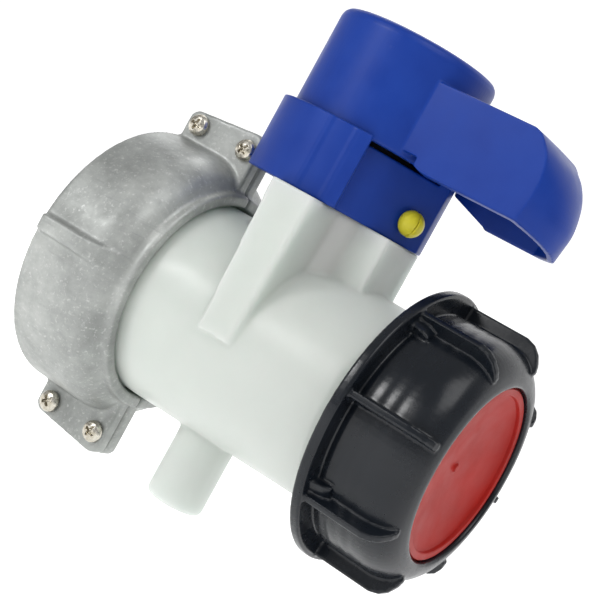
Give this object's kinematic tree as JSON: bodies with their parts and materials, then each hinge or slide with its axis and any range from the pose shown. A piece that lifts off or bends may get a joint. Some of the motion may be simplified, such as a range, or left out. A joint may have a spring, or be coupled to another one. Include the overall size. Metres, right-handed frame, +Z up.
{
  "type": "diaphragm valve",
  "caption": "Quarter-turn plastic diaphragm valve with a split metal coupling nut on the tank side, a lever on the bonnet, a lock pin and a screwed outlet cap with a sealing disc.",
  "frame": {"origin": "Centre of the coupling nut's tank-side rim plane, on the flow axis", "axes": "+X along the flow towards the outlet, +Z up along the bonnet axis, +Y to the left when looking downstream"},
  "size_m": [0.1264, 0.0844, 0.1432],
  "materials": {
    "white_hdpe": "semi-matt natural HDPE, slightly translucent",
    "cast_aluminium": "die-cast, lightly weathered",
    "nickel_steel": "nickel plated",
    "blue_pp": "semi-matt moulded",
    "yellow_plastic": "moulded",
    "black_pp": "satin moulded",
    "red_plastic": "satin moulded",
    "black_epdm": "moulded rubber",
    "grey_gasket": "flat gasket",
    "natural_acetal": "natural"
  },
  "bodies": {
    "valve": {"valve_body": "white_hdpe", "neck_collar": "blue_pp", "bonnet_insert": "natural_acetal", "retaining_ring": "natural_acetal", "dust_o_ring": "black_epdm", "inlet_gasket": "grey_gasket", "diaphragm": "black_epdm"},
    "coupling": {"coupling_half_front": "cast_aluminium", "coupling_half_rear": "cast_aluminium", "coupling_screw_1": "nickel_steel", "coupling_screw_2": "nickel_steel", "coupling_screw_3": "nickel_steel", "coupling_screw_4": "nickel_steel"},
    "handle": {"lever": "blue_pp", "cam_sleeve": "natural_acetal"},
    "plunger": {"compressor": "natural_acetal", "cross_pin": "nickel_steel"},
    "pin": {"lock_pin": "yellow_plastic"},
    "seal": {"outlet_seal_disc": "red_plastic", "outlet_gasket": "black_epdm"},
    "cap_nut": {"outlet_cap_nut": "black_pp"}
  },
  "joints": [
    {"name": "coupling_spin", "type": "hinge", "parent": "valve", "child": "coupling", "pos_m": [0, 0, 0], "axis": [1, 0, 0], "continuous": true},
    {"name": "lever_turn", "type": "hinge", "parent": "valve", "child": "handle", "pos_m": [0.055, 0, 0.07], "axis": [0, 0, 1], "range_deg": [0, 90]},
    {"name": "compressor_slide", "type": "slide", "parent": "valve", "child": "plunger", "axis": [0, 0, 1], "range_m": [-0.0121, 0.0001], "deforming": ["diaphragm"]},
    {"name": "pin_pull", "type": "slide", "parent": "valve", "child": "pin", "axis": [0.809, -0.5878, 0], "range_m": [0, 0.012]},
    {"name": "cap_travel", "type": "slide", "parent": "valve", "child": "seal", "axis": [1, 0, 0], "range_m": [0, 0.024]},
    {"name": "cap_turn", "type": "hinge", "parent": "seal", "child": "cap_nut", "pos_m": [0.11, 0, 0], "axis": [1, 0, 0], "range_deg": [-1, 1441]}
  ],
  "couplings": [
    {"joint": "compressor_slide", "follows": "lever_turn", "m_per_rad": -0.0076394},
    {"joint": "cap_turn", "follows": "cap_travel", "rad_per_m": 1047.2}
  ]
}
